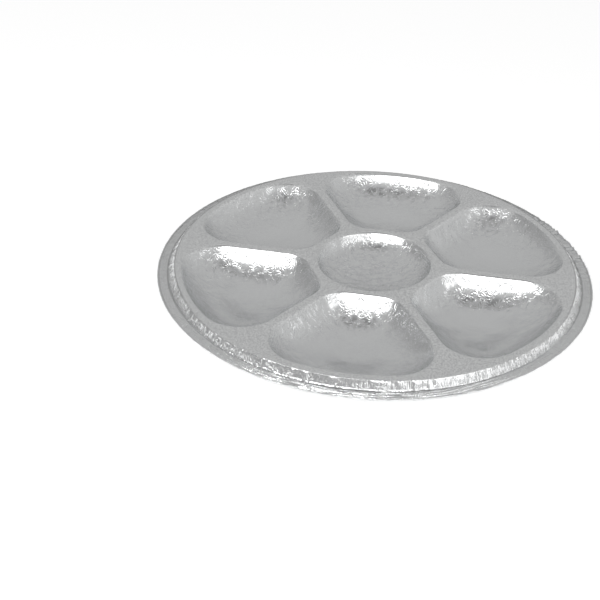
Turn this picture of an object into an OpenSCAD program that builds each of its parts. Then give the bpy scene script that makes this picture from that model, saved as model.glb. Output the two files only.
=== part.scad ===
/* [Plate] */
// Diameter over the rolled edge
plate_d = 350; // [320:1:380]
// Height of the deck above the table, which is also how deep the outer wells are pressed
plate_h = 24; // [20:0.5:29]
// Thickness of the foil
foil_t = 0.12; // [0.1:0.01:0.25]

/* [Rim] */
// Width of the sloping skirt, measured flat
skirt_w = 4.9; // [4:0.1:7]
// Height that the skirt falls from the deck to the flange
skirt_drop = 6.6; // [4.5:0.1:8]
// Number of steps round the crimped skirt, two to a crimp
crimp_steps = 216; // [180:2:220]
// Greatest depth of the skirt's crimps
crimp_d = 0.45; // [0.1:0.05:0.7]
// Width of the flange from the foot of the skirt to the outside of the rolled edge
flange_w = 8.7; // [7:0.1:11]
// Thickness of the rolled edge
roll_d = 2; // [1.6:0.1:2.6]

/* [Outer wells] */
// Number of outer wells
well_count = 6; // [5:1:6]
// Width of the webs between neighbouring outer wells
web_w = 4.4; // [3:0.1:8]
// Width of the web between the centre well and each outer well
centre_web_w = 3; // [2:0.1:6]
// Width of the deck outside the outer wells
rim_web_w = 4.4; // [3:0.1:8]
// Plan radius of the wells' outer corners
outer_corner_r = 32; // [26:0.5:36]
// Plan radius of the wells' inner corners
inner_corner_r = 23.5; // [18:0.5:26]
// Plan radius of the floors' outer corners
floor_outer_r = 17; // [10:0.5:20]
// Plan radius of the floors' inner corners
floor_inner_r = 11; // [6:0.5:13]
// Radius of the bowl between the walls and the floors
bowl_r = 37; // [28:1:40]
// How much lower the middle of a floor is than its edge
floor_dish = 1.5; // [0.8:0.1:3]
// Slope of the floors at their edges in degrees
floor_slope = 9; // [5:1:14]
// Share by which the walls are lower and narrower on the rim side
rim_rise = 0.16; // [0:0.02:0.24]

/* [Centre well] */
// Diameter of the centre well at the deck
centre_d = 95; // [86:1:100]
// Depth of the centre well
centre_depth = 16; // [13:0.5:19]
// Radius of the bowl between the centre well's wall and its floor
centre_bowl_r = 18; // [12:0.5:21]
// How much lower the middle of the centre well's floor is than its edge
centre_dish = 3.5; // [1.5:0.1:5]
// Slope of the centre well's floor at its edge in degrees
centre_floor_slope = 13; // [7:1:18]

/* [Walls] */
// Radius of the rolled lip round each well
lip_r = 3; // [2:0.1:4]
// Steepest slope of the walls in degrees
wall_slope = 58; // [52:1:62]

/* [Hidden] */

deck_z = plate_h;
well_depth = plate_h - foil_t;
wall_drop = well_depth - floor_dish;
mid_z = deck_z - foil_t / 2;
foot_r = plate_d / 2 - flange_w;
foot_z = mid_z - skirt_drop;
deck_r = foot_r - skirt_w;

// Flat margin of each outer well's foil and of the skirt's, and how much of it lies within the next foil
margin = 0.6;
margin_lap = 0.3;

// Angle at which the flange turns up into the rolled edge, and how far the roll curls past its outside
roll_rise = 45;
roll_turn = 200;

// Steps of the arcs in the section and in the plan
lip_steps = 2;
bowl_steps = 4;
dish_steps = 2;
centre_dish_steps = 6;
roll_steps = 12;
outer_corner_steps = 6;
inner_corner_steps = 4;
outer_edge_steps = 4;
inner_edge_steps = 2;
side_steps = 1;

function arc(centre, r, from, to, steps) =
    [for (k = [0:steps]) centre + r * [cos(from + (to - from) * k / steps), sin(from + (to - from) * k / steps)]];

function mix(a, b, share) = a + (b - a) * share;

function unit(v) = v / norm(v);

// Wall of a well as [run, drop, slope] from the lip inwards: a rolled lip, a straight flank and a bowl that
// ends at the slope of the floor's edge. A bowl too large for its wall is made to fit, with this share of
// the wall left straight
least_flank = 0.02;
lip_drop = lip_r * (1 - cos(wall_slope));

function fitted_bowl(drop, bowl, edge) =
    min(bowl, (drop * (1 - least_flank) - lip_drop) / (cos(edge) - cos(wall_slope)));

function run_of(drop, bowl, edge) =
    (lip_r + bowl) * sin(wall_slope) - bowl * sin(edge)
    + (drop - lip_drop - bowl * (cos(edge) - cos(wall_slope))) / tan(wall_slope);

function wall_section(drop, bowl, edge, lips, bowls) =
    let (run = run_of(drop, bowl, edge))
    concat(
        [for (k = [0:lips])
            let (a = wall_slope * k / lips) [lip_r * sin(a), lip_r * (1 - cos(a)), a]],
        [for (k = [0:bowls])
            let (a = mix(wall_slope, edge, k / bowls))
            [run - bowl * (sin(a) - sin(edge)), drop - bowl * (cos(edge) - cos(a)), a]]);

// Floor from its edge, at share 0, to its middle: how far it has fallen, and its slope there
function dish_fall(fall, length, edge, share) =
    fall * pow(share, 2) * (3 - 2 * share) + length * tan(edge) * share * pow(1 - share, 2);

function dish_slope(fall, length, edge, share) =
    atan(6 * share * (1 - share) * fall / length + tan(edge) * (1 - share) * (1 - 3 * share));

// Plan outline of an outer well that points along +X, as four corner arcs and the lines between them
half_turn = 180 / well_count;

function corner_y(x, inset, r) = (sin(half_turn) * x - inset - r) / cos(half_turn);

function outer_corner(inset, reach, r) =
    let (off = inset + r, along = sqrt(pow(reach - r, 2) - pow(off, 2)))
    [along * cos(half_turn) + off * sin(half_turn), along * sin(half_turn) - off * cos(half_turn)];

function half_outline(inset, start, reach, inner_r, outer_r) =
    let (
        oc = outer_corner(inset, reach, outer_r),
        ic = [start + inner_r, corner_y(start + inner_r, inset, inner_r)],
        rise = atan2(oc[1], oc[0]),
        side = 90 + half_turn,
        side_from = oc + outer_r * [cos(side), sin(side)],
        side_to = ic + inner_r * [cos(side), sin(side)])
    concat(
        arc([0, 0], reach, 0, rise, outer_edge_steps / 2),
        [for (k = [1:outer_corner_steps]) arc(oc, outer_r, rise, side, outer_corner_steps)[k]],
        [for (k = [1:side_steps]) mix(side_from, side_to, k / side_steps)],
        [for (k = [1:inner_corner_steps]) arc(ic, inner_r, side, 180, inner_corner_steps)[k]],
        [for (k = [1:inner_edge_steps / 2]) [start, ic[1] * (1 - k * 2 / inner_edge_steps)]]);

function outline(inset, start, reach, inner_r, outer_r) =
    let (half = half_outline(inset, start, reach, inner_r, outer_r), n = len(half))
    concat(half, [for (k = [n - 2:-1:1]) [half[k][0], -half[k][1]]]);

well_start = centre_d / 2 + centre_web_w;
well_reach = deck_r - rim_web_w;

function mouth_grown(by) = outline(
    web_w / 2 - by, well_start - by, well_reach + by, inner_corner_r + by, outer_corner_r + by);

mouth = mouth_grown(0);
bowl = fitted_bowl(wall_drop, bowl_r, floor_slope);
wall_run = run_of(wall_drop, bowl, floor_slope);
full_floor = outline(
    web_w / 2 + wall_run, well_start + wall_run, well_reach - wall_run, floor_inner_r, floor_outer_r);

// Where the middle of a floor lies along X and where the rim side begins, and how much of a floor is flat
floor_inner_x = well_start + wall_run;
floor_outer_x = well_reach - wall_run;
middle_share = 0.42;
rim_side_share = 0.3;
flat_share = 0.2;
floor_middle = [mix(floor_inner_x, floor_outer_x, middle_share), 0];
rim_side_x = mix(floor_inner_x, floor_outer_x, rim_side_share);

// Size of the wall at each point of the outline, as a share of the full wall
wall_share = [for (p = full_floor)
    let (u = max(0, (p[0] - rim_side_x) / (floor_outer_x - rim_side_x)))
    1 - rim_rise * pow(u, 2) * (3 - 2 * u)];

// Points of the foil's upper face as [place, height, slope, way down the slope]
function wall_point(i, s) =
    let (inward = full_floor[i] - mouth[i])
    [mouth[i] + inward * wall_share[i] * s[0] / wall_run,
        deck_z - s[1] * wall_share[i],
        atan(tan(s[2]) * wall_run / norm(inward)),
        unit(inward)];

function floor_point(i, share) =
    let (
        edge = mix(mouth[i], full_floor[i], wall_share[i]),
        inward = (floor_middle - edge) * (1 - flat_share),
        drop = wall_drop * wall_share[i],
        fall = well_depth - drop)
    [edge + inward * share,
        deck_z - drop - dish_fall(fall, norm(inward), floor_slope, share),
        dish_slope(fall, norm(inward), floor_slope, share),
        unit(inward)];

// Foil of an outer well: a flat margin in the deck, then points down the wall and over the floor, with a
// copy of every point one foil below it
module well_foil() {
    n = len(mouth);
    down = concat(
        [for (p = mouth_grown(margin)) [p, deck_z, 0, [0, 0]]],
        [for (s = wall_section(wall_drop, bowl, floor_slope, lip_steps, bowl_steps)) for (i = [0:n - 1])
            wall_point(i, s)],
        [for (k = [1:dish_steps]) for (i = [0:n - 1])
            floor_point(i, k / dish_steps)]);
    upper = [for (p = down) concat(p[0], p[1])];
    lower = [for (p = down) concat(p[0], p[1]) - foil_t * concat(p[3] * sin(p[2]), cos(p[2]))];
    under = len(upper);
    last = under - n;
    skin = [for (j = [0:n:last - n]) for (i = [0:n - 1])
        let (a = j + i, b = j + (i + 1) % n, c = a + n, d = b + n)
        each [[a, c, b], [b, c, d]]];
    rim = [for (i = [0:n - 1])
        let (a = i, b = (i + 1) % n)
        each [[a, b, a + under], [b, b + under, a + under]]];
    faces = concat(
        skin,
        [for (f = skin) [f[0] + under, f[2] + under, f[1] + under]],
        rim,
        [[for (i = [n - 1:-1:0]) last + i]],
        [[for (i = [0:n - 1]) last + under + i]]);
    polyhedron(points = concat(upper, lower), faces = faces, convexity = 6);
}

// Foil strip: a centre line given half the foil's thickness on each side, with mitred bends
function normal_at(path, k) =
    let (
        n = len(path),
        before = unit(path[max(k, 1)] - path[max(k, 1) - 1]),
        after = unit(path[min(k, n - 2) + 1] - path[min(k, n - 2)]),
        way = unit(before + after),
        stretch = way * after)
    [-way[1], way[0]] / stretch;
function strip(path, t) = concat(
    [for (k = [0:len(path) - 1]) path[k] + normal_at(path, k) * t / 2],
    [for (k = [len(path) - 1:-1:0]) path[k] - normal_at(path, k) * t / 2]);

// Centre well and deck: the foil's centre line from the axis out to the skirt's margin, revolved
module centre_well_and_deck() {
    drop = centre_depth - centre_dish;
    round = fitted_bowl(drop, centre_bowl_r, centre_floor_slope);
    wall = wall_section(drop, round, centre_floor_slope, 2 * lip_steps, 2 * bowl_steps);
    floor_r = centre_d / 2 - run_of(drop, round, centre_floor_slope);
    dish_w = floor_r * (1 - flat_share);
    path = concat(
        [[0, mid_z - centre_depth]],
        [for (k = [centre_dish_steps:-1:1])
            let (share = k / centre_dish_steps)
            [floor_r - dish_w * share,
                mid_z - drop - dish_fall(centre_dish, dish_w, centre_floor_slope, share)]],
        [for (k = [len(wall) - 1:-1:0]) [centre_d / 2 - wall[k][0], mid_z - wall[k][1]]],
        [[deck_r - margin + margin_lap, mid_z]]);
    rotate_extrude($fn = 180)
        polygon(strip(path, foil_t));
}

// Flange and rolled edge: a flat ring whose outside turns up a little and then curls under itself
module flange_and_roll() {
    r = (roll_d - foil_t) / 2;
    centre = [plate_d / 2 - roll_d / 2, foot_z - r * cos(roll_rise)];
    path = concat(
        [[foot_r + crimp_d + margin - margin_lap, foot_z]],
        arc(centre, r, 90 + roll_rise, 0, roll_steps / 2),
        [for (k = [1:roll_steps]) arc(centre, r, 0, -roll_turn, roll_steps)[k]]);
    rotate_extrude($fn = 180)
        polygon(strip(path, foil_t));
}

// Crimps go in and out by turns, and their depth wanders round the rim as gathered foil's does
function crimp(k) = (k % 2 == 0 ? 1 : -1) * crimp_d * (0.6 + 0.25 * sin(7 * turn(k)) + 0.15 * sin(31 * turn(k)));
function turn(k) = 360 * k / crimp_steps;

// Crimped skirt: its section is swept round step by step, pushed in and out at mid height and at the foot.
// The foil's two faces are split along the same diagonals, so that they never cross.
module crimped_skirt() {
    out = unit([skirt_drop, skirt_w]);
    sections = [for (k = [0:crimp_steps - 1])
        strip([
            [deck_r - margin, mid_z],
            [deck_r, mid_z],
            [(deck_r + foot_r) / 2, (mid_z + foot_z) / 2] + out * crimp(k),
            [foot_r - crimp(k), foot_z],
            [foot_r + crimp_d + margin, foot_z]], foil_t)];
    n = len(sections[0]);
    points = [for (k = [0:crimp_steps - 1]) for (p = sections[k])
        [p[0] * cos(turn(k)), p[0] * sin(turn(k)), p[1]]];
    faces = [for (k = [0:crimp_steps - 1]) for (i = [0:n - 1])
        let (
            next = (k + 1) % crimp_steps,
            a = k * n + i,
            b = k * n + (i + 1) % n,
            c = next * n + i,
            d = next * n + (i + 1) % n)
        each i < n / 2 ? [[a, c, b], [b, c, d]] : [[a, c, d], [a, d, b]]];
    polyhedron(points = points, faces = faces, convexity = 6);
}

module each_well() {
    for (k = [0:well_count - 1])
        rotate(k * 2 * half_turn)
            children();
}

// The whole platter is one sheet of foil, pressed in one stroke and rolled over at its edge
module platter() {
    color("silver") {
        difference() {
            centre_well_and_deck();
            each_well()
                translate([0, 0, deck_z - 2 * foil_t])
                    linear_extrude(height = 3 * foil_t)
                        polygon(mouth_grown(margin - margin_lap));
        }
        each_well()
            well_foil();
        crimped_skirt();
        flange_and_roll();
    }
}

platter();
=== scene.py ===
"""A round divided serving platter, pressed from embossed aluminium foil, on a pale studio floor.

The platter is one sheet of foil. It is modelled as two closed meshes that meet edge to edge in the
flat deck: the pressed sheet with its seven wells, and the crimped rim with its rolled edge. Sizes in
the classes are millimetres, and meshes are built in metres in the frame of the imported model.
"""
import logging
import math
from dataclasses import dataclass
from enum import Enum

import bmesh
import bpy
from mathutils import Matrix, Vector, noise


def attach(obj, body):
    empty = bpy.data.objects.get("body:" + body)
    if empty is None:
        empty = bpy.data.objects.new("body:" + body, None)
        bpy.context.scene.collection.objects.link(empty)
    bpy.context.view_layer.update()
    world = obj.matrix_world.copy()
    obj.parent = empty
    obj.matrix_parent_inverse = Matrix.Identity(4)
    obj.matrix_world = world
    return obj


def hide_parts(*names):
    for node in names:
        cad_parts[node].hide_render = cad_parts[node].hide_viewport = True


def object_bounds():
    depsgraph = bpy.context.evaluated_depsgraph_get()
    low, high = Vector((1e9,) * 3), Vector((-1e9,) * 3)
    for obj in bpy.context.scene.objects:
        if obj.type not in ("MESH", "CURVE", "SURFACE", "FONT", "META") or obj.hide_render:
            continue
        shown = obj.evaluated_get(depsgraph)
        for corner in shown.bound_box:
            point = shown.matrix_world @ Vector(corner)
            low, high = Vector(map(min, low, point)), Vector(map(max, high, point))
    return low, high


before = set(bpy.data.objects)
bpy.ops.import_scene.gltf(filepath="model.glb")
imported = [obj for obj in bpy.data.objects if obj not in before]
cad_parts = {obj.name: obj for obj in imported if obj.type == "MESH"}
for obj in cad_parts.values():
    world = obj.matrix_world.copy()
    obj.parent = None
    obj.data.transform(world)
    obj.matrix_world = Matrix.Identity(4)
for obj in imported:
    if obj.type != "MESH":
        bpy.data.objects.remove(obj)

CAD_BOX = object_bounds()
MM = 0.001
PLATTER_NODE = "platter"
# Points of a mesh that lie closer together than this are one, in millimetres.
MERGE_GAP = 0.01
# A line whose slope towards another is less than this doesn't meet it.
LEAST_SLOPE = 1e-6
# Direction of the camera's side in plan, in degrees. The rim's folds and the lights are placed from it.
FRONT_WAY = -109.76

log = logging.getLogger("platter")


class Layer(Enum):
    """Layers of the rim's mesh: painted shade along the bends, and how deep the pleats and rings are."""

    # The bend layer marks where painted shade goes along the rim's tight bends.
    BEND = "bend"
    PLEAT = "pleat"
    RING = "ring"


def linear(hex_colour: str) -> tuple[float, float, float, float]:
    """Turns an sRGB hex colour to the linear values that shaders take.

    Args:
        hex_colour: Colour as "#rrggbb".

    Returns:
        Linear red, green and blue, and an alpha of 1.
    """
    parts = [int(hex_colour[k:k + 2], 16) / 255 for k in (1, 3, 5)]
    straight = [p / 12.92 if p <= 0.04045 else ((p + 0.055) / 1.055) ** 2.4 for p in parts]
    return straight[0], straight[1], straight[2], 1.0


def add_node(tree: bpy.types.NodeTree, kind: str, links: dict | None = None, **settings) -> bpy.types.Node:
    """Adds a node with its settings, input values and links.

    Args:
        tree: Node tree that the node goes into.
        kind: Blender's name of the node's type.
        links: Input's name or number, with the output socket or the value that it takes.
        settings: Properties of the node itself.

    Returns:
        The new node.
    """
    node = tree.nodes.new(kind)
    for name, value in settings.items():
        setattr(node, name, value)
    for name, source in (links or {}).items():
        if isinstance(source, bpy.types.NodeSocket):
            tree.links.new(source, node.inputs[name])
        else:
            node.inputs[name].default_value = source
    return node


def clamp(value: float) -> float:
    """Keeps a value from 0 to 1."""
    return min(max(value, 0.0), 1.0)


def smoothstep(low: float, high: float, value: float) -> float:
    """Rises smoothly from 0 at low to 1 at high."""
    t = clamp((value - low) / (high - low))
    return t * t * (3 - 2 * t)


def mesh_piece(name: str, bm: bmesh.types.BMesh, wall: float) -> bpy.types.Object:
    """Turns a one-sided sheet into a piece with a wall of foil below its upper face.

    Args:
        name: Name of the new object and mesh.
        bm: Sheet with its faces pointing up and out. It is freed.
        wall: Thickness of the foil in millimetres.

    Returns:
        The new object, linked to the scene.
    """
    for edge in bm.edges:
        edge.smooth = not edge.is_boundary
    for face in bm.faces:
        face.smooth = True
    mesh = bpy.data.meshes.new(name)
    bm.to_mesh(mesh)
    bm.free()
    piece = bpy.data.objects.new(name, mesh)
    bpy.context.scene.collection.objects.link(piece)
    solid = piece.modifiers.new("foil", "SOLIDIFY")
    solid.thickness = wall * MM
    solid.offset = -1
    solid.use_even_offset = True
    return piece


@dataclass(frozen=True)
class PlatterSizes:
    """Sizes that the pressed sheet and its rim share, in millimetres."""

    diameter: float = (CAD_BOX[1][0] - CAD_BOX[0][0]) / MM
    deck_z: float = (CAD_BOX[1][2] - CAD_BOX[0][2]) / MM
    foil: float = 0.12
    flange_w: float = 8.7
    skirt_w: float = 4.9
    skirt_drop: float = 6.6
    roll_d: float = 2.0
    rim_web_w: float = 4.4
    seam_out: float = 0.6

    @property
    def foot_r(self) -> float:
        """Radius of the foot of the skirt."""
        return self.diameter / 2 - self.flange_w

    @property
    def deck_r(self) -> float:
        """Radius of the deck's edge."""
        return self.foot_r - self.skirt_w

    @property
    def well_reach(self) -> float:
        """Radius of the outer wells' outer edges."""
        return self.deck_r - self.rim_web_w

    @property
    def seam_r(self) -> float:
        """Radius in the flat deck at which the rim's mesh takes over."""
        return self.well_reach + self.seam_out


@dataclass(frozen=True)
class Dips:
    """Shallow dips that thin foil takes as it is pressed: their size in plan, depth and pattern."""

    pitch: float
    depth: float
    pattern: float

    def fall(self, x: float, y: float) -> float:
        """Height by which a place falls short of flat, as 0 or less."""
        lift = noise.noise(Vector((x / self.pitch, y / self.pitch, self.pattern)))
        return self.depth * (lift - 1) / 2


@dataclass(frozen=True)
class WellForm:
    """Section of a well from its lip to the flat middle of its floor, in millimetres and degrees."""

    depth: float
    bowl_r: float
    floor_dish: float
    floor_slope: float
    lip_r: float = 2.2
    wall_slope: float = 58.0
    lip_steps: int = 6
    flank_steps: int = 3
    bowl_steps: int = 15
    dish_steps: int = 6

    @property
    def wall_drop(self) -> float:
        """Height from the deck to the edge of the floor."""
        return self.depth - self.floor_dish

    @property
    def flank_drop(self) -> float:
        """Height of the straight part of the wall."""
        steep, edge = math.radians(self.wall_slope), math.radians(self.floor_slope)
        return (self.wall_drop - self.lip_r * (1 - math.cos(steep))
                - self.bowl_r * (math.cos(edge) - math.cos(steep)))

    @property
    def wall_run(self) -> float:
        """Works out how wide the wall is in plan.

        Returns:
            A width in millimetres.
        """
        steep, edge = math.radians(self.wall_slope), math.radians(self.floor_slope)
        arcs = (self.lip_r + self.bowl_r) * math.sin(steep) - self.bowl_r * math.sin(edge)
        return arcs + self.flank_drop / math.tan(steep)

    def wall_rows(self) -> list[tuple[float, float]]:
        """Works out the wall from the lip inwards: a rolled lip, a straight flank and a bowl.

        Returns:
            Rows of the run into the well and the drop below the deck, in millimetres.
        """
        steep, edge = math.radians(self.wall_slope), math.radians(self.floor_slope)
        rows = []
        for k in range(self.lip_steps + 1):
            turn = steep * k / self.lip_steps
            rows.append((self.lip_r * math.sin(turn), self.lip_r * (1 - math.cos(turn))))
        lip_end = rows[-1]
        flank = Vector((self.flank_drop / math.tan(steep), self.flank_drop))
        rows += [tuple(Vector(lip_end) + flank * (k / self.flank_steps)) for k in range(1, self.flank_steps)]
        for k in range(self.bowl_steps + 1):
            turn = steep + (edge - steep) * k / self.bowl_steps
            rows.append((self.wall_run - self.bowl_r * (math.sin(turn) - math.sin(edge)),
                         self.wall_drop - self.bowl_r * (math.cos(edge) - math.cos(turn))))
        return rows

    def dish_fall(self, fall: float, length: float, share: float) -> float:
        """Works out how far a floor has fallen between its edge and its flat middle.

        Args:
            fall: Whole fall of the floor.
            length: Distance from the edge to the flat middle.
            share: Share of that distance.

        Returns:
            The fall from the edge, in millimetres.
        """
        smooth = fall * share ** 2 * (3 - 2 * share)
        return smooth + length * math.tan(math.radians(self.floor_slope)) * share * (1 - share) ** 2


@dataclass
class PressedSheet:
    """Deck with its centre well and its ring of deeper outer wells.

    The floors' outer corners are rounded more tightly than the mouths', and the outer wells' floors
    rise a little towards the rim, by the rim's rise as a share of their depth.
    """

    sizes: PlatterSizes
    well_count: int = 6
    centre_d: float = 95.0
    web_w: float = 4.4
    centre_web_w: float = 3.0
    outer_corner_r: float = 32.0
    inner_corner_r: float = 23.5
    floor_outer_r: float = 17.0
    floor_inner_r: float = 11.0
    rim_rise: float = 0.16
    rim_side_share: float = 0.3
    middle_share: float = 0.42
    flat_share: float = 0.2
    flat_rings: int = 2
    dips: tuple[Dips, ...] = (Dips(pitch=46.0, depth=0.16, pattern=3.7),
                              Dips(pitch=17.0, depth=0.07, pattern=8.1))
    dips_from_seam: float = 8.0
    dips_above_floor: float = 1.5
    outer_edge_steps: int = 10
    outer_corner_steps: int = 17
    side_steps: int = 16
    inner_corner_steps: int = 13
    inner_edge_steps: int = 5

    @property
    def outer_form(self) -> WellForm:
        """Section of the outer wells."""
        return WellForm(depth=self.sizes.deck_z - self.sizes.foil, bowl_r=37.0, floor_dish=1.5,
                        floor_slope=9.0)

    @property
    def centre_form(self) -> WellForm:
        """Section of the centre well."""
        return WellForm(depth=16.0, bowl_r=18.0, floor_dish=3.5, floor_slope=13.0)

    @property
    def half_turn(self) -> float:
        """Half of the angle between neighbouring outer wells."""
        return math.pi / self.well_count

    def outline(self, inset: float, start: float, reach: float, inner_r: float,
                outer_r: float) -> tuple[list[Vector], list[Vector]]:
        """Works out the plan outline of a well that points along +X.

        Args:
            inset: Distance of the sides from the middle lines of the webs.
            start: Place of the straight inner edge along X.
            reach: Radius of the outer edge about the platter's axis.
            inner_r: Radius of the inner corners.
            outer_r: Radius of the outer corners.

        Returns:
            The outline's points, anticlockwise from the middle of the outer edge, and the outline's
            outward direction at each.
        """
        half = self.half_turn
        across = inset + outer_r
        along = math.sqrt((reach - outer_r) ** 2 - across ** 2)
        outer = Vector((along * math.cos(half) + across * math.sin(half),
                        along * math.sin(half) - across * math.cos(half)))
        inner_x = start + inner_r
        inner = Vector((inner_x, (math.sin(half) * inner_x - inset - inner_r) / math.cos(half)))
        rise = math.atan2(outer.y, outer.x)
        side = math.pi / 2 + half

        def way(turn: float) -> Vector:
            """Direction at an angle in plan."""
            return Vector((math.cos(turn), math.sin(turn)))

        places, ways = [], []
        for k in range(self.outer_edge_steps + 1):
            turn = rise * k / self.outer_edge_steps
            ways.append(way(turn))
            places.append(ways[-1] * reach)
        for k in range(1, self.outer_corner_steps + 1):
            turn = rise + (side - rise) * k / self.outer_corner_steps
            ways.append(way(turn))
            places.append(outer + ways[-1] * outer_r)
        side_from, side_to = places[-1], inner + way(side) * inner_r
        for k in range(1, self.side_steps + 1):
            ways.append(way(side))
            places.append(side_from.lerp(side_to, k / self.side_steps))
        for k in range(1, self.inner_corner_steps + 1):
            turn = side + (math.pi - side) * k / self.inner_corner_steps
            ways.append(way(turn))
            places.append(inner + ways[-1] * inner_r)
        for k in range(1, self.inner_edge_steps + 1):
            ways.append(way(math.pi))
            places.append(Vector((start, inner.y * (1 - k / self.inner_edge_steps))))
        mirrored = range(len(places) - 2, 0, -1)
        places += [Vector((places[k].x, -places[k].y)) for k in mirrored]
        ways += [Vector((ways[k].x, -ways[k].y)) for k in mirrored]
        return places, ways

    def cell_edge(self, places: list[Vector], ways: list[Vector]) -> list[Vector]:
        """Runs each point of a well's mouth outwards to the edge of the well's share of the deck.

        Args:
            places: Points of the mouth.
            ways: The mouth's outward direction at each point.

        Returns:
            Points on the middle lines of the webs, the seam with the rim and the centre well's mouth.
        """
        half = self.half_turn
        inner_r, outer_r = self.centre_d / 2, self.sizes.seam_r
        edge = []
        for place, out in zip(places, ways):
            turned = 1 if place.y >= 0 else -1
            normal = Vector((math.sin(half), -turned * math.cos(half)))
            steps = []
            if normal.dot(out) < -LEAST_SLOPE:
                steps.append(-normal.dot(place) / normal.dot(out))
            middle = place.dot(out)
            steps.append(-middle + math.sqrt(middle ** 2 + outer_r ** 2 - place.length_squared))
            inner_share = middle ** 2 + inner_r ** 2 - place.length_squared
            if inner_share > 0 and middle < 0:
                steps.append(-middle - math.sqrt(inner_share))
            edge.append(place + out * min(steps))
        for radius in (inner_r, outer_r):
            for turned in (-1, 1):
                corner = Vector((radius * math.cos(half), turned * radius * math.sin(half)))
                nearest = min(range(len(edge)), key=lambda k: (edge[k] - corner).length)
                edge[nearest] = corner
        return edge

    @staticmethod
    def grow_ring(bm: bmesh.types.BMesh, ring: list[bmesh.types.BMVert],
                  places: list[Vector]) -> list[bmesh.types.BMVert]:
        """Extrudes a closed ring of points to new places.

        Args:
            bm: Mesh that holds the ring.
            ring: The ring's points, in order.
            places: Place of each new point, in the same order.

        Returns:
            The new ring's points, in order.
        """
        order = {vert: k for k, vert in enumerate(ring)}
        edges = [bm.edges.get((ring[k - 1], ring[k])) for k in range(len(ring))]
        grown = bmesh.ops.extrude_edge_only(bm, edges=edges)["geom"]
        new_ring = [None] * len(ring)
        for vert in (g for g in grown if isinstance(g, bmesh.types.BMVert)):
            old = next(e.other_vert(vert) for e in vert.link_edges if e.other_vert(vert) in order)
            new_ring[order[old]] = vert
        for vert, place in zip(new_ring, places):
            vert.co = place
        return new_ring

    def close_floor(self, bm: bmesh.types.BMesh, ring: list[bmesh.types.BMVert], form: WellForm,
                    middle: Vector) -> None:
        """Dishes a well's floor from its edge to its flat middle, and closes it.

        Args:
            bm: Mesh that holds the ring.
            ring: Points of the floor's edge.
            form: Section of the well.
            middle: Middle of the floor, in plan.
        """
        start = [v.co.copy() for v in ring]
        low = Vector((0, 0, self.sizes.deck_z - form.depth))
        centre = middle.to_3d() + low
        for k in range(1, form.dish_steps + 1):
            share = k / form.dish_steps
            places = []
            for edge in start:
                inward = (centre - edge).to_2d() * (1 - self.flat_share)
                fall = form.dish_fall(edge.z - low.z, inward.length, share)
                places.append((edge.to_2d() + inward * share).to_3d() + Vector((0, 0, edge.z - fall)))
            ring = self.grow_ring(bm, ring, places)
        for _ in range(self.flat_rings):
            ring = self.grow_ring(bm, ring, [centre.lerp(v.co, 0.5) for v in ring])
        bmesh.ops.pointmerge(bm, verts=ring, merge_co=centre)

    def make_sector(self, bm: bmesh.types.BMesh) -> None:
        """Models one outer well with its share of the deck, pointing along +X.

        Args:
            bm: Empty mesh that takes the well.
        """
        sizes, form = self.sizes, self.outer_form
        start = self.centre_d / 2 + self.centre_web_w
        mouth, ways = self.outline(self.web_w / 2, start, sizes.well_reach,
                                   self.inner_corner_r, self.outer_corner_r)
        run = form.wall_run
        inner_x, outer_x = start + run, sizes.well_reach - run
        floor, _ = self.outline(self.web_w / 2 + run, inner_x, outer_x, self.floor_inner_r,
                                self.floor_outer_r)
        rim_side = inner_x + (outer_x - inner_x) * self.rim_side_share
        shares = [1 - self.rim_rise * smoothstep(rim_side, outer_x, p.x) for p in floor]
        circle = bmesh.ops.create_circle(bm, segments=len(mouth), radius=sizes.diameter / 2)["verts"]
        for vert, place in zip(circle, mouth):
            vert.co = place.to_3d() + Vector((0, 0, sizes.deck_z))
        edge = self.cell_edge(mouth, ways)
        deck = Vector((0, 0, sizes.deck_z))
        halfway = [a.lerp(b, 0.5).to_3d() + deck for a, b in zip(mouth, edge)]
        outer = self.grow_ring(bm, circle, halfway)
        self.grow_ring(bm, outer, [p.to_3d() + deck for p in edge])
        ring = circle
        for into, drop in form.wall_rows()[1:]:
            ring = self.grow_ring(bm, ring, [
                a.lerp(b, into / run * share).to_3d() + Vector((0, 0, sizes.deck_z - drop * share))
                for a, b, share in zip(mouth, floor, shares)])
        middle = Vector((inner_x + (outer_x - inner_x) * self.middle_share, 0))
        self.close_floor(bm, ring, form, middle)

    def make_centre(self, bm: bmesh.types.BMesh) -> None:
        """Models the centre well, from the ring of points that the sectors leave open.

        Args:
            bm: Mesh of the outer wells and the deck.
        """
        mouth_r = self.centre_d / 2
        ring = sorted({v for e in bm.edges if e.is_boundary for v in e.verts
                       if v.co.to_2d().length < mouth_r + self.centre_web_w / 2},
                      key=lambda v: math.atan2(v.co.y, v.co.x))
        ways = [v.co.to_2d().normalized() for v in ring]
        form = self.centre_form
        for into, drop in form.wall_rows()[1:]:
            level = Vector((0, 0, self.sizes.deck_z - drop))
            ring = self.grow_ring(bm, ring, [(w * (mouth_r - into)).to_3d() + level for w in ways])
        self.close_floor(bm, ring, form, Vector((0, 0)))

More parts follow.
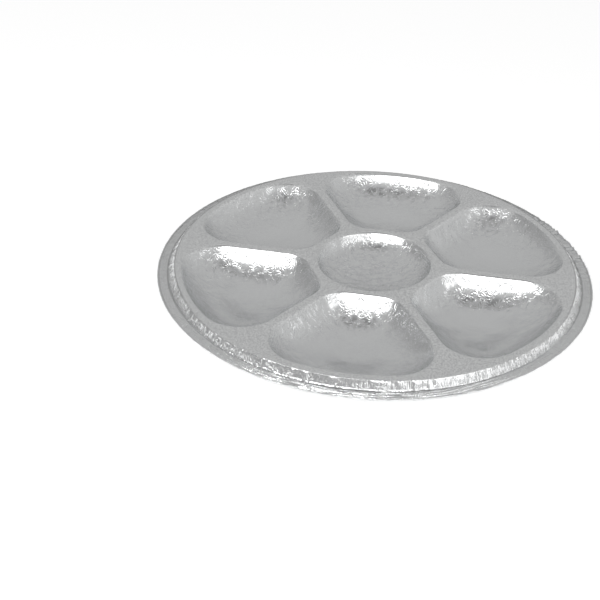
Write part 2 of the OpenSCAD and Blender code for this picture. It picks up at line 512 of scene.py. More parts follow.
    def build(self) -> bpy.types.Object:
        """Builds the whole pressed sheet.

        Returns:
            The sheet as one closed piece.
        """
        bm = bmesh.new()
        self.make_sector(bm)
        bmesh.ops.spin(bm, geom=bm.verts[:] + bm.edges[:] + bm.faces[:], cent=(0, 0, 0), axis=(0, 0, 1),
                       angle=-2 * self.half_turn * (self.well_count - 1), steps=self.well_count - 1,
                       use_duplicate=True)
        bmesh.ops.remove_doubles(bm, verts=bm.verts[:], dist=MERGE_GAP)
        self.make_centre(bm)
        for vert in bm.verts:
            x, y, z = vert.co
            free = smoothstep(0, self.dips_from_seam, self.sizes.seam_r - math.hypot(x, y))
            free *= smoothstep(0, self.dips_above_floor, z - self.sizes.foil)
            vert.co.z += sum(dips.fall(x, y) for dips in self.dips) * free
        bmesh.ops.recalc_face_normals(bm, faces=bm.faces[:])
        if sum(f.normal.z * f.calc_area() for f in bm.faces) < 0:
            bmesh.ops.reverse_faces(bm, faces=bm.faces[:])
        bmesh.ops.scale(bm, vec=(MM, MM, MM), verts=bm.verts[:])
        return mesh_piece("pressed_sheet", bm, self.sizes.foil)


@dataclass(frozen=True)
class Stretch:
    """Stretch of the rim that fades in and out, in degrees from the camera's side to its right."""

    start: float
    full_from: float
    full_to: float
    end: float

    def share(self, across: float) -> float:
        """How strongly an angle belongs to the stretch, from 0 to 1."""
        return smoothstep(self.start, self.full_from, across) * smoothstep(self.end, self.full_to, across)


@dataclass(frozen=True)
class RimRow:
    """Row of points round the rim, with how far it lies on each part of the band, from 0 to 1.

    Rows are numbered from the seam. The upright is the section's own, outwards and upwards. A row is
    bent if it lies on a bend, ringed if the flange's rings lift it, and held down if no fold may.
    """

    number: int
    upright: Vector
    past_seam: float
    skirt: float
    skirt_middle: float
    flange: float
    roll: float
    to_ridge: float
    to_foot: float
    past_foot: float
    bent: bool
    ringed: bool
    held_down: bool


# Besides the folds, its marks give the painted shade along the rim's bends.
@dataclass(frozen=True)
class RimWearAndShade:
    """Folds, creases and dents of the rim, in millimetres and in degrees from the camera's side.

    The skirt is gathered all round. In front it stands steeper, and the flange sags and is ringed.
    On the right, a little to the back, the flange and the roll are ragged.
    """

    # Radius of the deck's edge, round which the patterns are laid out.
    radius: float
    # Where the rim differs. The sides are the same to the left and to the right.
    front: Stretch = Stretch(-75.0, -50.0, 50.0, 75.0)
    sides: Stretch = Stretch(40.0, 60.0, 110.0, 130.0)
    calm_left: Stretch = Stretch(-55.0, -35.0, -10.0, 5.0)
    calm_right: Stretch = Stretch(5.0, 15.0, 30.0, 40.0)
    sagging: Stretch = Stretch(-60.0, -25.0, 20.0, 42.0)
    ragged: Stretch = Stretch(84.0, 91.0, 114.0, 128.0)
    # How far the skirt's ridge and foot are moved in front, and its ridge at the sides.
    ridge_out: float = 1.2
    foot_in: float = 0.4
    side_in: float = 0.5
    # Facets and sways of the skirt. The pattern shifts from row to row, so that it slants.
    row_shift: float = 1.1
    facet_pitch: float = 5.2
    facet_line: float = 0.16
    facet_h: float = 0.2
    sway_pitch: float = 5.5
    sway_h: float = 0.3
    side_calm: float = 0.55
    # Gathers that run out over the deck's edge and down the skirt, about so many to a radian.
    gathers: float = 9.0
    gather_line: float = 0.035
    gather_h: float = 0.45
    deck_gathers: float = 0.3
    # How far the skirt and the roll lie inside the even band, and the roll's dents.
    skirt_sink: float = 0.3
    roll_sink: float = 0.1
    dent_pitch: float = 2.4
    dent_h: float = 0.28
    ragged_dent_h: float = 0.6
    # Teeth of the ragged flange, and the flange's sag and rings.
    teeth_pitch: float = 2.8
    teeth_h: float = 1.9
    flange_drop: float = 0.8
    ring_reach: float = 16.0
    ring_shift: float = 1.7
    ring_h: float = 0.8
    ring_least: float = 0.25
    # Single creases, each by its angle and its depth. They move the foil inwards and down.
    crease_w: float = 0.45
    crease_in: float = 0.5
    crease_down: float = 0.85
    creases: tuple[tuple[float, float], ...] = (
        (-59.0, 0.6), (-25.75, 0.7), (-18.25, 0.7), (36.25, 0.5), (44.75, 0.6), (47.75, 0.6), (57.5, 0.6),
        (64.0, 0.8), (67.25, 0.7), (91.75, 0.7),
    )
    # How strongly the finish's finer pleats and rings show on each stretch.
    left_plainer: float = 0.4
    right_plainer: float = 0.3
    flange_pleats: float = 0.35
    deck_pleats: float = 0.12
    least_rings: float = 0.35
    ragged_plainer: float = 0.7

    @staticmethod
    def border(place: Vector, width: float) -> float:
        """Draws the borders of scattered cells, as 1 on a border and less beside it."""
        nearest = noise.voronoi(place)[0]
        return math.exp(-((nearest[1] - nearest[0]) / width) ** 2)

    def fold(self, row: RimRow, out: Vector, across: float) -> float:
        """Works out how far the foil is pushed out along its own upright.

        Args:
            row: Row of the point.
            out: Direction of the point from the axis.
            across: Angle of the point from the camera's side.

        Returns:
            A distance in millimetres, below 0 where the foil is pushed in.
        """
        spot = out * self.radius + Vector((0, 0, row.number * self.row_shift))
        facets = self.facet_h * self.border(spot / self.facet_pitch, self.facet_line) * row.skirt_middle
        sway = self.sway_h * noise.noise(spot / self.sway_pitch)
        depth = row.skirt * (facets + sway) * (1 - self.side_calm * self.sides.share(abs(across)))
        gathered = self.gather_h * self.border(out * self.gathers, self.gather_line)
        depth += gathered * max(row.skirt, self.deck_gathers * row.past_seam)
        dent_h = self.dent_h + self.ragged_dent_h * self.ragged.share(across)
        dent = self.roll_sink + dent_h * abs(noise.noise(spot / self.dent_pitch))
        depth -= self.skirt_sink * row.skirt + row.roll * dent
        return min(depth, 0.0) if row.held_down else depth

    def move(self, row: RimRow, out: Vector, across: float) -> Vector:
        """Works out how far a point of the even band is moved.

        Args:
            row: Row of the point.
            out: Direction of the point from the axis.
            across: Angle of the point from the camera's side.

        Returns:
            The move in millimetres.
        """
        depth = self.fold(row, out, across)
        front, sagging = self.front.share(across), self.sagging.share(across)
        lean = (self.ridge_out * front - self.side_in * self.sides.share(abs(across))) * row.to_ridge
        tuck = self.foot_in * front * row.to_foot
        creased = sum(deep * math.exp(-((across - place) / self.crease_w) ** 2)
                      for place, deep in self.creases)
        creased *= row.past_seam * (1 - row.flange)
        around = out * self.radius
        outwards = row.upright.x * depth + lean - tuck - self.crease_in * creased
        upwards = row.upright.y * depth - tuck - self.crease_down * creased
        if row.ringed:
            lift = noise.noise(around / self.ring_reach + Vector((0, 0, row.number * self.ring_shift)))
            upwards += self.ring_h * lift * (self.ring_least + (1 - self.ring_least) * sagging)
        upwards -= self.flange_drop * sagging * row.past_foot
        teeth = noise.noise(around / self.teeth_pitch)
        upwards += self.teeth_h * self.ragged.share(across) * row.flange * teeth
        return out * outwards + Vector((0, 0, upwards))

    def marks(self, row: RimRow, across: float) -> dict[Layer, float]:
        """Works out the painted shade of the bends and the depths of the pleats and rings at a point.

        Args:
            row: Row of the point.
            across: Angle of the point from the camera's side.

        Returns:
            Value of each layer there.
        """
        sagging, ragged = self.sagging.share(across), self.ragged.share(across)
        skirt = 1 - self.left_plainer * self.calm_left.share(across)
        skirt -= self.right_plainer * self.calm_right.share(across)
        deck = (1 - row.flange) * (1 - row.skirt)
        rings = self.least_rings + (1 - self.least_rings) * sagging
        return {
            # Painted shade: bent rows get a greyer line that stands in for the shade in the bends, except in
            # front.
            Layer.BEND: float(row.bent) * (1 - self.front.share(across)),
            Layer.PLEAT: (row.skirt * skirt + row.flange * (self.flange_pleats + ragged)
                          + self.deck_pleats * deck),
            Layer.RING: row.flange * rings * (1 - self.ragged_plainer * ragged),
        }


@dataclass
class CrimpedRim:
    """Deck's edge, gathered skirt, flange and rolled edge, as one band of foil.

    A fade gives where a part of the band starts and where it is full, from that part's own radius.
    """

    sizes: PlatterSizes
    steps: int = 1188
    arcs: int = 44
    ridge_r: float = 0.45
    foot_bend_r: float = 0.5
    roll_rise: float = 45.0
    roll_turn: float = 200.0
    deck_steps: int = 3
    bend_steps: int = 3
    skirt_steps: int = 7
    flange_steps: int = 8
    roll_steps: int = 13
    seam_fade: tuple[float, float] = (0.0, 2.5)
    skirt_fade: tuple[float, float] = (-0.5, 1.0)
    skirt_end_fade: tuple[float, float] = (-0.8, 1.2)
    skirt_end_share: float = 0.75
    flange_fade: tuple[float, float] = (-0.4, 0.6)
    roll_fade: tuple[float, float] = (-3.0, -1.6)
    foot_share: float = 0.8

    def section(self) -> list[Vector]:
        """Works out the upper face of the band in section, from the seam out to the end of the roll.

        Returns:
            Points as radius and height, in millimetres.
        """
        sizes = self.sizes
        half = sizes.foil / 2
        slope = math.atan2(sizes.skirt_drop, sizes.skirt_w)
        top = Vector((sizes.deck_r, sizes.deck_z))
        foot = Vector((sizes.foot_r, sizes.deck_z - sizes.skirt_drop))
        down = (foot - top).normalized()
        ridge_run = self.ridge_r * math.tan(slope / 2)
        foot_run = self.foot_bend_r * math.tan(slope / 2)
        seam = Vector((sizes.seam_r, sizes.deck_z))
        deck_end = top - Vector((ridge_run, 0))
        points = [seam.lerp(deck_end, k / self.deck_steps) for k in range(self.deck_steps)]
        ridge_mid = top + Vector((-ridge_run, -self.ridge_r))
        points += [ridge_mid + self.ridge_r * Vector((math.sin(a), math.cos(a)))
                   for a in (slope * k / self.bend_steps for k in range(self.bend_steps + 1))]
        skirt_from, skirt_to = points[-1], foot - down * foot_run
        points += [skirt_from.lerp(skirt_to, k / self.skirt_steps) for k in range(1, self.skirt_steps)]
        foot_mid = foot + Vector((foot_run, self.foot_bend_r))
        points += [foot_mid - self.foot_bend_r * Vector((math.sin(a), math.cos(a)))
                   for a in (slope * (1 - k / self.bend_steps) for k in range(self.bend_steps + 1))]
        roll_r = sizes.roll_d / 2
        rise = math.radians(self.roll_rise)
        roll_mid = Vector((sizes.diameter / 2 - roll_r, foot.y - half - (roll_r - half) * math.cos(rise)))
        roll_from = roll_mid + roll_r * Vector((-math.sin(rise), math.cos(rise)))
        flange_from = points[-1]
        points += [flange_from.lerp(roll_from, k / self.flange_steps) for k in range(1, self.flange_steps)]
        turn = rise + math.pi / 2 + math.radians(self.roll_turn)
        points += [roll_mid + roll_r * Vector((math.sin(a), math.cos(a)))
                   for a in (turn * k / self.roll_steps - rise for k in range(self.roll_steps + 1))]
        return points

    def rows(self, path: list[Vector]) -> list[RimRow]:
        """Works out how far each row of points lies on each part of the band.

        Args:
            path: Points of the section.

        Returns:
            A row for each point of the section.
        """
        sizes = self.sizes
        last = len(path) - 1
        ridge_row, roll_row = self.deck_steps, last - self.roll_steps
        foot_row = roll_row - self.flange_steps - self.bend_steps
        ridge_bend = range(ridge_row, ridge_row + self.bend_steps + 1)
        foot_bend = range(foot_row, foot_row + self.bend_steps + 1)
        skirt_mid = (sizes.deck_r + sizes.foot_r) / 2
        rows = []
        for k, point in enumerate(path):
            radius = point.x
            past_deck, past_foot = radius - sizes.deck_r, radius - sizes.foot_r
            along = (path[min(k + 1, last)] - path[max(k - 1, 0)]).normalized()
            skirt_end = self.skirt_end_share * smoothstep(*self.skirt_end_fade, past_foot)
            roll = smoothstep(*self.roll_fade, radius - sizes.diameter / 2)
            rows.append(RimRow(
                number=k,
                upright=Vector((-along.y, along.x)),
                past_seam=smoothstep(*self.seam_fade, radius - sizes.seam_r),
                skirt=smoothstep(*self.skirt_fade, past_deck) * (1 - skirt_end),
                skirt_middle=1 - ((radius - skirt_mid) / sizes.skirt_w) ** 2,
                flange=smoothstep(*self.flange_fade, past_foot),
                roll=roll,
                to_ridge=smoothstep(sizes.seam_r, sizes.deck_r, radius) * clamp(-past_foot / sizes.skirt_w),
                to_foot=clamp(1 - abs(past_foot) / (self.foot_share * sizes.skirt_w)),
                past_foot=clamp(past_foot / (path[roll_row].x - sizes.foot_r)),
                bent=k in ridge_bend or k in foot_bend or k == roll_row,
                ringed=foot_bend[-1] < k < roll_row,
                held_down=past_deck < 0 or roll > 0,
            ))
        return rows

    def crumple(self, bm: bmesh.types.BMesh, row_of: bmesh.types.BMLayerItem, path: list[Vector]) -> None:
        """Folds, creases and dents the turned band, and marks its painted bend shade, pleats and rings.

        Args:
            bm: Mesh of the turned band.
            row_of: Layer that holds each point's place along the section.
            path: Points of the section.
        """
        wear_and_shade = RimWearAndShade(self.sizes.deck_r)
        rows = self.rows(path)
        layers = {layer: bm.verts.layers.float.new(layer.value) for layer in Layer}
        for vert in bm.verts:
            row = rows[vert[row_of]]
            turn = math.atan2(vert.co.y, vert.co.x)
            out = Vector((math.cos(turn), math.sin(turn), 0))
            across = (math.degrees(turn) - FRONT_WAY + 180) % 360 - 180
            vert.co += wear_and_shade.move(row, out, across)
            vert.co.z = min(vert.co.z, self.sizes.deck_z)
            for layer, mark in wear_and_shade.marks(row, across).items():
                vert[layers[layer]] = mark

    def build(self) -> bpy.types.Object:
        """Builds the rim by turning its section once round the axis and crumpling it.

        Returns:
            The rim as one closed piece.
        """
        bm = bmesh.new()
        row_of = bm.verts.layers.int.new("row")
        path = self.section()
        verts = []
        for k, point in enumerate(path):
            vert = bm.verts.new((point.x, 0, point.y))
            vert[row_of] = k
            verts.append(vert)
        edges = [bm.edges.new(pair) for pair in zip(verts, verts[1:])]
        share = 2 * math.pi / self.arcs
        bmesh.ops.spin(bm, geom=verts + edges, cent=(0, 0, 0), axis=(0, 0, 1), angle=share,
                       steps=self.steps // self.arcs)
        bmesh.ops.spin(bm, geom=bm.verts[:] + bm.edges[:] + bm.faces[:], cent=(0, 0, 0), axis=(0, 0, 1),
                       angle=share * (self.arcs - 1), steps=self.arcs - 1, use_duplicate=True)
        bmesh.ops.remove_doubles(bm, verts=bm.verts[:], dist=MERGE_GAP)
        self.crumple(bm, row_of, path)
        bmesh.ops.recalc_face_normals(bm, faces=bm.faces[:])
        deck_mid = (self.sizes.seam_r + self.sizes.deck_r) / 2
        deck = [f for f in bm.faces if f.calc_center_median().to_2d().length < deck_mid]
        if sum(f.normal.z for f in deck) < 0:
            bmesh.ops.reverse_faces(bm, faces=bm.faces[:])
        bmesh.ops.scale(bm, vec=(MM, MM, MM), verts=bm.verts[:])
        return mesh_piece("crimped_rim", bm, self.sizes.foil)


@dataclass(frozen=True)
class EmbossedFoil:
    """Aluminium foil, rolled bright and embossed with small leaf sprigs.

    Bare rolled aluminium is a pale neutral metal that mirrors the room a little softly, so the colour
    is high and even, and all that is seen on it is the pattern and the folds. Sizes and heights are in
    millimetres. The strokes, the specks, the rolling grain, the pleats and the rings are finer on real
    foil, and are drawn as coarse as they need to be to show.
    """

    sizes: PlatterSizes
    # Tones run from 0, the foil's own colour, to 1, the colour of the specks.
    colour: str = "#fdfefe"
    speck_colour: str = "#e0e1e2"
    # The bend colour is painted shade along the rim's tight bends.
    painted_bend_shade_colour: str = "#cccdcd"
    roughness: float = 0.19
    well_tone: float = 0.55
    deck_tone: float = 0.38
    speck_pitch: float = 1.1
    speck_low: float = 0.25
    speck_high: float = 0.75
    speck_reach: float = 0.5
    # Sprigs in two sizes. Shares say how deep they are pressed on the floors and on the deck.
    sprig_pitch: float = 10.5
    sprig_reach: float = 0.62
    sprig_scatter: float = 0.8
    large_strokes: int = 13
    small_size: float = 0.66
    small_strokes: int = 9
    small_shift: float = 41.0
    stroke_w: float = 1.5
    tip_w: float = 0.1
    curl: float = 0.14
    fan_start: float = -0.9
    fan_full: float = -0.3
    emboss_depth: float = 0.12
    floor_share: float = 0.3
    floor_low: float = 1.0
    floor_high: float = 9.0
    deck_share: float = 0.15
    deck_low: float = 20.5
    deck_high: float = 23.0
    # Rolling grain, and the rim's pleats and rings. A pitch runs across a crease, a reach along it.
    grain_pitch: float = 0.9
    grain_depth: float = 0.004
    pleat_pitch: float = 1.5
    pleat_reach: float = 7.0
    pleat_depth: float = 0.5
    ring_pitch: float = 1.3
    ring_reach: float = 16.0
    ring_depth: float = 1.6
    ring_lean: float = 0.6

    def sprigs(self, tree: bpy.types.NodeTree, place: bpy.types.NodeSocket, size: float, strokes: int,
               shift: float) -> bpy.types.NodeSocket:
        """Draws a scatter of sprigs, each a fan of curved strokes about a point of its own.

        Args:
            tree: Node tree of the material.
            place: Socket with the place in millimetres.
            size: Size of this scatter's sprigs against the largest.
            strokes: Number of strokes in a whole ring.
            shift: Shift of the scatter in plan, in millimetres.

        Returns:
            Socket with a height from 0 to 1.
        """
        pitch = self.sprig_pitch * size
        moved = add_node(tree, "ShaderNodeVectorMath", {0: place, 1: (shift, shift / 2, 0)}, operation="ADD")
        scaled = add_node(tree, "ShaderNodeVectorMath", {0: moved.outputs[0], "Scale": 1 / pitch},
                          operation="SCALE")
        cells = add_node(tree, "ShaderNodeTexVoronoi", {
            "Vector": scaled.outputs[0], "Scale": 1.0, "Randomness": self.sprig_scatter},
            voronoi_dimensions="2D")
        away = add_node(tree, "ShaderNodeVectorMath", {0: scaled.outputs[0], 1: cells.outputs["Position"]},
                        operation="SUBTRACT")
        apart = add_node(tree, "ShaderNodeSeparateXYZ", {0: away.outputs[0]})
        chance = add_node(tree, "ShaderNodeSeparateXYZ", {0: cells.outputs["Color"]})
        radius = add_node(tree, "ShaderNodeMath", {0: cells.outputs["Distance"], 1: pitch},
                          operation="MULTIPLY")
        angle = add_node(tree, "ShaderNodeMath", {0: apart.outputs["Y"], 1: apart.outputs["X"]},
                         operation="ARCTAN2")
        turn = add_node(tree, "ShaderNodeMath", {0: chance.outputs["X"], 1: math.tau, 2: angle.outputs[0]},
                        operation="MULTIPLY_ADD")
        hand = add_node(tree, "ShaderNodeMath", {0: chance.outputs["Y"], 1: 0.5}, operation="GREATER_THAN")
        curl = add_node(tree, "ShaderNodeMath", {
            0: hand.outputs[0], 1: 2 * self.curl / size, 2: -self.curl / size}, operation="MULTIPLY_ADD")
        curled = add_node(tree, "ShaderNodeMath", {
            0: radius.outputs[0], 1: curl.outputs[0], 2: turn.outputs[0]}, operation="MULTIPLY_ADD")
        spread = add_node(tree, "ShaderNodeMath", {0: curled.outputs[0], 1: math.pi / strokes},
                          operation="PINGPONG")
        beside = add_node(tree, "ShaderNodeMath", {0: spread.outputs[0], 1: radius.outputs[0]},
                          operation="MULTIPLY")
        share = add_node(tree, "ShaderNodeMapRange", {
            "Value": radius.outputs[0], "From Max": pitch * self.sprig_reach, "To Max": math.pi})
        belly = add_node(tree, "ShaderNodeMath", {0: share.outputs[0]}, operation="SINE")
        width = add_node(tree, "ShaderNodeMath", {
            0: belly.outputs[0], 1: self.stroke_w / 2, 2: self.tip_w / 2}, operation="MULTIPLY_ADD")
        edge = add_node(tree, "ShaderNodeMath", {0: beside.outputs[0], 1: width.outputs[0]},
                        operation="DIVIDE")
        stroke = add_node(tree, "ShaderNodeMapRange", {
            "Value": edge.outputs[0], "From Min": 1.0, "From Max": 0.0}, interpolation_type="SMOOTHSTEP")
        facing = add_node(tree, "ShaderNodeMath", {0: turn.outputs[0]}, operation="COSINE")
        fan = add_node(tree, "ShaderNodeMapRange", {
            "Value": facing.outputs[0], "From Min": self.fan_start, "From Max": self.fan_full},
            interpolation_type="SMOOTHSTEP")
        full = add_node(tree, "ShaderNodeMath", {0: stroke.outputs[0], 1: fan.outputs[0]},
                        operation="MULTIPLY")
        return full.outputs[0]

    def creases(self, tree: bpy.types.NodeTree, place: bpy.types.NodeSocket, layer: Layer, around: float,
                outwards: float, depth: float, lean: float) -> bpy.types.NodeSocket:
        """Draws creases that run round the rim or out across it, where a layer of the mesh asks for them.

        Args:
            tree: Node tree of the material.
            place: Socket with the place in millimetres.
            layer: Layer that says how deep the creases are.
            around: Size of a crease round the rim, in millimetres.
            outwards: Size of a crease out across the rim, in millimetres.
            depth: Depth where the layer is 1, in millimetres.
            lean: Fall of the surface outwards from the skirt's foot where the layer is 1.

        Returns:
            Socket with a height in millimetres.
        """
        flat = add_node(tree, "ShaderNodeVectorMath", {0: place, 1: (1, 1, 0)}, operation="MULTIPLY")
        radius = add_node(tree, "ShaderNodeVectorMath", {0: flat.outputs[0]}, operation="LENGTH")
        out = add_node(tree, "ShaderNodeVectorMath", {0: flat.outputs[0]}, operation="NORMALIZE")
        turned = add_node(tree, "ShaderNodeVectorMath", {
            0: out.outputs[0], "Scale": self.sizes.deck_r / around}, operation="SCALE")
        far = add_node(tree, "ShaderNodeMath", {0: radius.outputs["Value"], 1: 1 / outwards},
                       operation="MULTIPLY")
        lift = add_node(tree, "ShaderNodeCombineXYZ", {"Z": far.outputs[0]})
        spot = add_node(tree, "ShaderNodeVectorMath", {0: turned.outputs[0], 1: lift.outputs[0]},
                        operation="ADD")
        waves = add_node(tree, "ShaderNodeTexNoise", {
            "Vector": spot.outputs[0], "Scale": 1.0, "Detail": 1.0})
        asked = add_node(tree, "ShaderNodeAttribute", attribute_name=layer.value)
        past = add_node(tree, "ShaderNodeMath", {0: radius.outputs["Value"], 1: self.sizes.foot_r},
                        operation="SUBTRACT")
        fall = add_node(tree, "ShaderNodeMath", {0: past.outputs[0], 1: -lean}, operation="MULTIPLY")
        total = add_node(tree, "ShaderNodeMath", {0: waves.outputs[0], 1: depth, 2: fall.outputs[0]},
                         operation="MULTIPLY_ADD")
        return add_node(tree, "ShaderNodeMath", {0: total.outputs[0], 1: asked.outputs["Fac"]},
                        operation="MULTIPLY").outputs[0]

    def relief(self, tree: bpy.types.NodeTree, place: bpy.types.NodeSocket, height: bpy.types.NodeSocket,
               pressed: bpy.types.NodeSocket) -> bpy.types.NodeSocket:
        """Presses the sprigs, the rolling grain, the pleats and the rings into the foil.

        Args:
            tree: Node tree of the material.
            place: Socket with the place in millimetres.
            height: Socket with the height above the platter's underside, in millimetres.
            pressed: Socket that falls from 1 in the wells to the deck's share on the deck.

        Returns:
            Socket with the direction that the surface faces.
        """
        large = self.sprigs(tree, place, 1.0, self.large_strokes, 0.0)
        small = self.sprigs(tree, place, self.small_size, self.small_strokes, self.small_shift)
        both = add_node(tree, "ShaderNodeMath", {0: large, 1: small}, operation="MAXIMUM")
        above = add_node(tree, "ShaderNodeMapRange", {
            "Value": height, "From Min": self.floor_low, "From Max": self.floor_high,
            "To Min": self.floor_share}, interpolation_type="SMOOTHSTEP")
        share = add_node(tree, "ShaderNodeMath", {0: above.outputs[0], 1: pressed}, operation="MULTIPLY")
        sprigs = add_node(tree, "ShaderNodeMath", {0: both.outputs[0], 1: share.outputs[0]},
                          operation="MULTIPLY")
        emboss = add_node(tree, "ShaderNodeBump", {
            "Height": sprigs.outputs[0], "Strength": 1.0, "Distance": self.emboss_depth * MM})
        grain = add_node(tree, "ShaderNodeTexNoise", {
            "Vector": place, "Scale": 1 / self.grain_pitch, "Detail": 1.0})
        rough = add_node(tree, "ShaderNodeBump", {
            "Height": grain.outputs[0], "Strength": 1.0, "Distance": self.grain_depth * MM,
            "Normal": emboss.outputs[0]})
        pleats = self.creases(tree, place, Layer.PLEAT, self.pleat_pitch, self.pleat_reach,
                              self.pleat_depth, 0.0)
        rings = self.creases(tree, place, Layer.RING, self.ring_reach, self.ring_pitch, self.ring_depth,
                             self.ring_lean)
        folds = add_node(tree, "ShaderNodeMath", {0: pleats, 1: rings}, operation="ADD")
        folded = add_node(tree, "ShaderNodeBump", {
            "Height": folds.outputs[0], "Strength": 1.0, "Distance": MM, "Normal": rough.outputs[0]})
        return folded.outputs[0]

    def tone(self, tree: bpy.types.NodeTree, place: bpy.types.NodeSocket,
             pressed: bpy.types.NodeSocket) -> bpy.types.NodeSocket:
        """Colours the foil, with greyer specks on the deck and painted shade along each bend.

        Args:
            tree: Node tree of the material.
            place: Socket with the place in millimetres.
            pressed: Socket that falls from 1 in the wells to the deck's share on the deck.

        Returns:
            Socket with the colour.
        """
        specks = add_node(tree, "ShaderNodeTexNoise", {
            "Vector": place, "Scale": 1 / self.speck_pitch, "Detail": 0.0})
        step = self.deck_tone - self.well_tone
        speck = add_node(tree, "ShaderNodeMapRange", {
            "Value": specks.outputs[0], "From Min": self.speck_low, "From Max": self.speck_high,
            "To Min": step - self.speck_reach, "To Max": step + self.speck_reach})
        on_deck = add_node(tree, "ShaderNodeMath", {0: 1.0 + self.deck_share, 1: pressed},
                           operation="SUBTRACT")
        worn = add_node(tree, "ShaderNodeMath", {
            0: on_deck.outputs[0], 1: speck.outputs[0], 2: self.well_tone}, operation="MULTIPLY_ADD")
        ground = add_node(tree, "ShaderNodeMix", {
            "Factor": worn.outputs[0], "A": linear(self.colour), "B": linear(self.speck_colour)},
            data_type="RGBA")
        # Painted shade: the rim's bent rows are mixed towards a grey that stands in for the shade in the
        # tight bends.
        bend = add_node(tree, "ShaderNodeAttribute", attribute_name=Layer.BEND.value)
        return add_node(tree, "ShaderNodeMix", {
            "Factor": bend.outputs["Fac"], "A": ground.outputs["Result"], "B": linear(self.painted_bend_shade_colour)},
            data_type="RGBA").outputs["Result"]

    def build(self) -> bpy.types.Material:
        """Makes the material.

        Returns:
            The foil's material.
        """
        # Bright rolled aluminium: the eye sees the room's pale walls and lights in it, broken by the folds.
        material = bpy.data.materials.new("embossed_aluminium_foil")
        material.use_nodes = True
        tree = material.node_tree
        tree.nodes.clear()
        where = add_node(tree, "ShaderNodeTexCoord")
        place = add_node(tree, "ShaderNodeVectorMath", {0: where.outputs["Object"], "Scale": 1 / MM},
                         operation="SCALE").outputs[0]
        height = add_node(tree, "ShaderNodeSeparateXYZ", {0: place}).outputs["Z"]
        pressed = add_node(tree, "ShaderNodeMapRange", {
            "Value": height, "From Min": self.deck_low, "From Max": self.deck_high, "To Min": 1.0,
            "To Max": self.deck_share}).outputs[0]
        metal = add_node(tree, "ShaderNodeBsdfPrincipled", {
            "Base Color": self.tone(tree, place, pressed), "Metallic": 1.0, "Roughness": self.roughness,
            "Normal": self.relief(tree, place, height, pressed)})
        add_node(tree, "ShaderNodeOutputMaterial", {"Surface": metal.outputs[0]})
        return material


@dataclass(frozen=True)
class MattPaper:
    """Matt white paper of a studio's floor.

    Uncoated paper scatters light evenly, so the floor has no shine and keeps a soft shadow. It glows to
    the camera and in reflections alone, so that it looks white there and lights nothing.
    """

    colour: str = "#f0f0f0"
    glow_colour: str = "#ffffff"
    glow: float = 0.5

    def build(self) -> bpy.types.Material:
        """Makes the material.

        Returns:
            The paper's material.
        """
        # Uncoated white paper: the eye sees a pale even ground with a soft shadow.
        material = bpy.data.materials.new("matt_white_paper")
        material.use_nodes = True
        tree = material.node_tree
        tree.nodes.clear()
        ray = add_node(tree, "ShaderNodeLightPath")
        seen = ray.outputs["Is Camera Ray"]
        for kind in ("Is Glossy Ray", "Is Transmission Ray"):
            seen = add_node(tree, "ShaderNodeMath", {0: seen, 1: ray.outputs[kind]},
                            operation="MAXIMUM").outputs[0]
        strength = add_node(tree, "ShaderNodeMath", {0: seen, 1: self.glow}, operation="MULTIPLY")
        glow = add_node(tree, "ShaderNodeEmission", {
            "Color": linear(self.glow_colour), "Strength": strength.outputs[0]})
        paper = add_node(tree, "ShaderNodeBsdfDiffuse", {"Color": linear(self.colour)})
        total = add_node(tree, "ShaderNodeAddShader", {0: glow.outputs[0], 1: paper.outputs[0]})
        add_node(tree, "ShaderNodeOutputMaterial", {"Surface": total.outputs[0]})
        return material


@dataclass(frozen=True)
class Patch:
    """Round soft-edged patch of another brightness on the studio's walls, in degrees."""

    side: float
    rise: float
    inner: float
    outer: float
    level: float


@dataclass(frozen=True)
class Softbox:
    """Soft oval light that faces the platter.

    Its side is the turn from the camera's side and its rise the angle above the floor, in degrees. Its
    face is in millimetres, and as bright as its radiance says, where 1 is white.
    """

    name: str
    side: float
    rise: float
    wide: float
    tall: float
    radiance: float


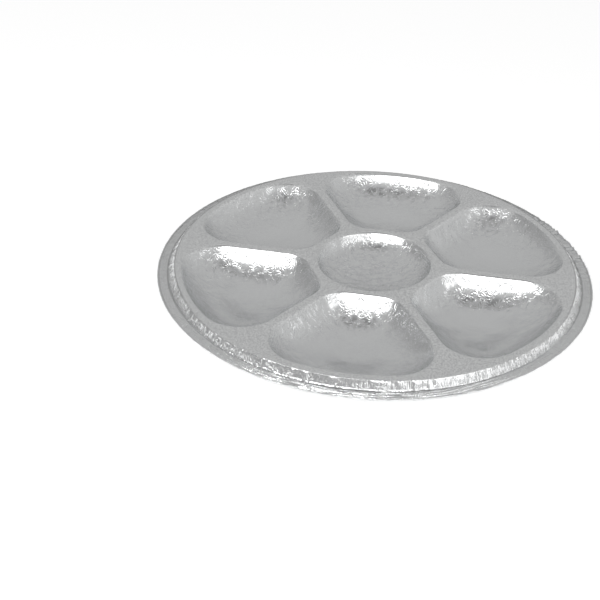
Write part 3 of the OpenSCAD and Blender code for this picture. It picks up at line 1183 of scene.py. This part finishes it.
@dataclass
class Studio:
    """Camera, floor, soft light and surroundings, in millimetres and degrees.

    The camera stands where the photograph was taken from, and looks past the middle of the deck by
    the two aims. A side is a turn from the camera's own side, to its right.
    """

    sizes: PlatterSizes
    camera_rise: float = 32.737
    camera_roll: float = 1.427
    camera_distance: float = 942.0
    camera_reach: float = 100000.0
    aim_right: float = -59.92
    aim_up: float = -32.11
    focal_pixels: float = 1165.65
    frame_pixels: float = 600.0
    sensor_w: float = 36.0
    floor_w: float = 8000.0
    # Brightness of the walls at the floor and at the wall's top, an angle, where 1 is white.
    wall_low: float = 0.41
    wall_high: float = 0.49
    wall_top: float = 50.0
    patches: tuple[Patch, ...] = (
        Patch(side=-27.0, rise=46.0, inner=10.0, outer=32.0, level=0.52),
        Patch(side=0.0, rise=79.0, inner=5.0, outer=21.0, level=0.22),
        Patch(side=-42.0, rise=8.0, inner=16.0, outer=30.0, level=0.35),
        Patch(side=-100.0, rise=12.0, inner=14.0, outer=34.0, level=0.33),
        Patch(side=88.0, rise=18.0, inner=6.0, outer=40.0, level=0.56),
    )
    light_distance: float = 1600.0
    softboxes: tuple[Softbox, ...] = (
        Softbox("key_softbox", side=-25.0, rise=38.0, wide=2050.0, tall=520.0, radiance=2.4),
        Softbox("side_softbox", side=38.0, rise=36.0, wide=1200.0, tall=500.0, radiance=0.55),
        Softbox("low_softbox", side=36.0, rise=16.0, wide=1200.0, tall=560.0, radiance=0.7),
        Softbox("edge_strip", side=62.0, rise=34.0, wide=220.0, tall=620.0, radiance=0.75),
    )

    def toward(self, side: float, rise: float) -> Vector:
        """Direction from the platter, by the turn from the camera's side and the rise in degrees."""
        turn, up = math.radians(side + FRONT_WAY), math.radians(rise)
        return Vector((math.cos(turn) * math.cos(up), math.sin(turn) * math.cos(up), math.sin(up)))

    def add_camera(self) -> bpy.types.Object:
        """Adds the camera at the photograph's place and makes it the scene's.

        Returns:
            The camera's object.
        """
        back = self.toward(0.0, self.camera_rise)
        level = Vector((-back.y, back.x, 0)).normalized()
        up = back.cross(level)
        roll = math.radians(self.camera_roll)
        right = level * math.cos(roll) + up * math.sin(roll)
        top = up * math.cos(roll) - level * math.sin(roll)
        aim = Vector((0, 0, self.sizes.deck_z)) + right * self.aim_right + top * self.aim_up
        data = bpy.data.cameras.new("camera")
        data.sensor_width = self.sensor_w
        data.lens = self.focal_pixels / self.frame_pixels * self.sensor_w
        data.clip_end = self.camera_reach * MM
        camera = bpy.data.objects.new("camera", data)
        pose = Matrix((right, top, back)).transposed().to_4x4()
        pose.translation = (aim + back * self.camera_distance) * MM
        camera.matrix_world = pose
        bpy.context.scene.collection.objects.link(camera)
        bpy.context.scene.camera = camera
        return camera

    def add_softbox(self, box: Softbox) -> bpy.types.Object:
        """Adds a soft light that faces the platter.

        Args:
            box: The light's place, face and brightness.

        Returns:
            The light's object.
        """
        data = bpy.data.lights.new(box.name, "AREA")
        data.shape = "ELLIPSE"
        data.size = box.wide * MM
        data.size_y = box.tall * MM
        data.energy = box.radiance * math.pi * data.size * data.size_y
        light = bpy.data.objects.new(box.name, data)
        way = self.toward(box.side, box.rise)
        pose = way.to_track_quat("Z", "Y").to_matrix().to_4x4()
        pose.translation = way * self.light_distance * MM
        light.matrix_world = pose
        bpy.context.scene.collection.objects.link(light)
        return light

    def add_floor(self) -> bpy.types.Object:
        """Adds the pale floor, which keeps the platter's shadow.

        Returns:
            The floor's object.
        """
        bm = bmesh.new()
        bmesh.ops.create_grid(bm, x_segments=1, y_segments=1, size=self.floor_w / 2 * MM)
        mesh = bpy.data.meshes.new("floor")
        bm.to_mesh(mesh)
        bm.free()
        floor = bpy.data.objects.new("floor", mesh)
        bpy.context.scene.collection.objects.link(floor)
        floor.data.materials.append(MattPaper().build())
        return floor

    def add_surroundings(self) -> None:
        """Gives the studio grey walls with soft lighter and darker patches, and a dark gap overhead."""
        world = bpy.data.worlds.new("studio")
        bpy.context.scene.world = world
        world.use_nodes = True
        tree = world.node_tree
        tree.nodes.clear()
        where = add_node(tree, "ShaderNodeTexCoord").outputs["Generated"]
        height = add_node(tree, "ShaderNodeSeparateXYZ", {0: where}).outputs["Z"]
        shade = add_node(tree, "ShaderNodeMapRange", {
            "Value": height, "From Min": 0.0, "From Max": math.sin(math.radians(self.wall_top)),
            "To Min": self.wall_low, "To Max": self.wall_high})
        for patch in self.patches:
            axis = self.toward(patch.side, patch.rise)
            near = add_node(tree, "ShaderNodeVectorMath", {0: where, 1: axis}, operation="DOT_PRODUCT")
            share = add_node(tree, "ShaderNodeMapRange", {
                "Value": near.outputs["Value"], "From Min": math.cos(math.radians(patch.outer)),
                "From Max": math.cos(math.radians(patch.inner))}, interpolation_type="SMOOTHSTEP")
            shade = add_node(tree, "ShaderNodeMix", {
                "Factor": share.outputs[0], "A": shade.outputs[0], "B": patch.level}, data_type="FLOAT")
        back = add_node(tree, "ShaderNodeBackground", {"Color": shade.outputs[0], "Strength": 1.0})
        add_node(tree, "ShaderNodeOutputWorld", {"Surface": back.outputs[0]})

    def build(self) -> None:
        """Builds the studio."""
        self.add_camera()
        self.add_floor()
        self.add_surroundings()
        for box in self.softboxes:
            self.add_softbox(box)


def main() -> None:
    """Builds the platter and the studio."""
    logging.basicConfig(level=logging.INFO, format="%(name)s: %(message)s")
    sizes = PlatterSizes()
    foil = EmbossedFoil(sizes).build()
    for part in (PressedSheet(sizes), CrimpedRim(sizes)):
        piece = part.build()
        piece.data.materials.append(foil)
        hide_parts(PLATTER_NODE)
        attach(piece, "root")
        log.info("%s: %d faces", piece.name, len(piece.data.polygons))
    Studio(sizes).build()
    bpy.context.scene.view_settings.view_transform = "Standard"
    bpy.context.view_layer.update()


if __name__ == "__main__":
    main()
